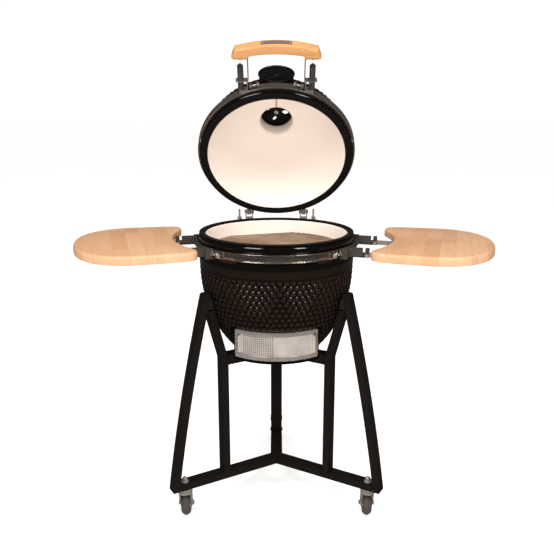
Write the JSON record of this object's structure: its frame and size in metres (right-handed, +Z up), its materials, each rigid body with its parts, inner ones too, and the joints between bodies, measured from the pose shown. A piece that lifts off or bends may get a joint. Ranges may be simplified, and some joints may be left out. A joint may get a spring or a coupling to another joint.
{
  "type": "kamado ceramic grill",
  "caption": "Egg-shaped ceramic charcoal grill with a hinged dome lid, draft door, cooking grate and folding wooden side tables, on a wheeled steel stand.",
  "frame": {"origin": "on the floor, under the middle of the bowl", "axes": "+X to the user's right, +Y towards the hinge at the back, +Z up"},
  "size_m": [1.1914, 0.7076, 1.3938],
  "materials": {
    "glazed_ceramic": "black glaze",
    "gasket": "woven felt",
    "band_steel": "brushed stainless",
    "zinc_hardware": "bright zinc",
    "fire_clay": "unglazed cordierite",
    "cast_iron": "matt black",
    "grill_steel": "brushed, heat-toned",
    "frame_paint": "satin black powder coat",
    "rubberwood": "lacquered",
    "post_rubber": "satin sleeve",
    "label_metal": "dark blank plate",
    "gauge_black": "satin black",
    "gauge_dial": "black dial with pale marks",
    "gauge_glass": "clear",
    "needle_white": "white",
    "wheel_rubber": "grey tread"
  },
  "bodies": {
    "stand_and_bowl": {"base_bowl": "glazed_ceramic", "base_gasket": "gasket", "base_band": "band_steel", "band_bolts": "zinc_hardware", "fire_box": "fire_clay", "fire_ring": "fire_clay", "charcoal_grate": "cast_iron", "hinge_lower_brackets": "band_steel", "hinge_pins": "zinc_hardware", "hinge_springs": "zinc_hardware", "draft_frame": "band_steel", "draft_screws": "zinc_hardware", "lower_star": "frame_paint", "upper_star": "frame_paint", "leg_left": "frame_paint", "leg_right": "frame_paint", "leg_rear": "frame_paint", "strut_left": "frame_paint", "strut_right": "frame_paint", "strut_rear": "frame_paint", "leg_caps": "gasket", "bowl_pads": "gasket", "caster_nuts": "band_steel", "left_table_arms": "frame_paint", "right_table_arms": "frame_paint", "table_pins": "zinc_hardware"},
    "lid": {"dome_lid": "glazed_ceramic", "lid_gasket": "gasket", "lid_band": "band_steel", "lid_band_bolts": "zinc_hardware", "hinge_upper_brackets": "band_steel", "handle_grip": "rubberwood", "handle_brackets": "band_steel", "handle_posts": "post_rubber", "handle_bolts": "zinc_hardware", "label_plate": "label_metal", "thermometer_case": "gauge_black", "thermometer_dial": "gauge_dial", "thermometer_glass": "gauge_glass", "thermometer_probe": "band_steel", "damper_base": "cast_iron", "damper_knob": "band_steel"},
    "needle": {"thermometer_needle": "needle_white"},
    "damper": {"damper_disc": "cast_iron"},
    "door": {"draft_door": "band_steel"},
    "screen": {"draft_screen": "band_steel"},
    "left_side_table": {"left_table": "rubberwood", "left_table_bars": "zinc_hardware"},
    "right_side_table": {"right_table": "rubberwood", "right_table_bars": "zinc_hardware"},
    "grate": {"cooking_grate": "grill_steel"},
    "caster_left": {"caster_fork_left": "zinc_hardware"},
    "wheel_left": {"caster_wheel_left": "wheel_rubber"},
    "caster_right": {"caster_fork_right": "zinc_hardware"},
    "wheel_right": {"caster_wheel_right": "wheel_rubber"},
    "caster_rear": {"caster_fork_rear": "zinc_hardware"},
    "wheel_rear": {"caster_wheel_rear": "wheel_rubber"}
  },
  "joints": [
    {"name": "lid_hinge", "type": "hinge", "parent": "stand_and_bowl", "child": "lid", "pos_m": [0, 0.2387, 0.881], "axis": [-1, 0, 0], "range_deg": [-55, 15]},
    {"name": "needle_turn", "type": "hinge", "parent": "lid", "child": "needle", "pos_m": [0, 0.03511, 1.31123], "axis": [0, -0.4695, 0.8829], "range_deg": [-270, 0]},
    {"name": "damper_turn", "type": "hinge", "parent": "lid", "child": "damper", "pos_m": [0, 0.27954, 1.201], "axis": [0, 0.8192, 0.5736], "range_deg": [-20, 25]},
    {"name": "draft_door_slide", "type": "hinge", "parent": "stand_and_bowl", "child": "door", "pos_m": [0, 0, 0.56], "axis": [0, 0, 1], "range_deg": [-30, 0]},
    {"name": "draft_screen_slide", "type": "hinge", "parent": "stand_and_bowl", "child": "screen", "pos_m": [0, 0, 0.56], "axis": [0, 0, 1], "range_deg": [0, 30]},
    {"name": "left_table_fold", "type": "hinge", "parent": "stand_and_bowl", "child": "left_side_table", "pos_m": [-0.27432, -0.0735, 0.822], "axis": [0.2588, -0.9659, 0], "range_deg": [0, 90]},
    {"name": "right_table_fold", "type": "hinge", "parent": "stand_and_bowl", "child": "right_side_table", "pos_m": [0.27432, -0.0735, 0.822], "axis": [0.2588, 0.9659, 0], "range_deg": [0, 90]},
    {"name": "grate_lift", "type": "slide", "parent": "stand_and_bowl", "child": "grate", "axis": [0, 0, 1], "range_m": [0, 0.08]},
    {"name": "left_swivel", "type": "hinge", "parent": "stand_and_bowl", "child": "caster_left", "pos_m": [-0.27713, -0.16, 0.095], "axis": [0, 0, 1], "continuous": true},
    {"name": "left_wheel_spin", "type": "hinge", "parent": "caster_left", "child": "wheel_left", "pos_m": [-0.27713, -0.142, 0.0375], "axis": [1, 0, 0], "continuous": true},
    {"name": "right_swivel", "type": "hinge", "parent": "stand_and_bowl", "child": "caster_right", "pos_m": [0.27713, -0.16, 0.095], "axis": [0, 0, 1], "continuous": true},
    {"name": "right_wheel_spin", "type": "hinge", "parent": "caster_right", "child": "wheel_right", "pos_m": [0.27713, -0.142, 0.0375], "axis": [1, 0, 0], "continuous": true},
    {"name": "rear_swivel", "type": "hinge", "parent": "stand_and_bowl", "child": "caster_rear", "pos_m": [0, 0.32, 0.095], "axis": [0, 0, 1], "continuous": true},
    {"name": "rear_wheel_spin", "type": "hinge", "parent": "caster_rear", "child": "wheel_rear", "pos_m": [0, 0.338, 0.0375], "axis": [1, 0, 0], "continuous": true}
  ]
}
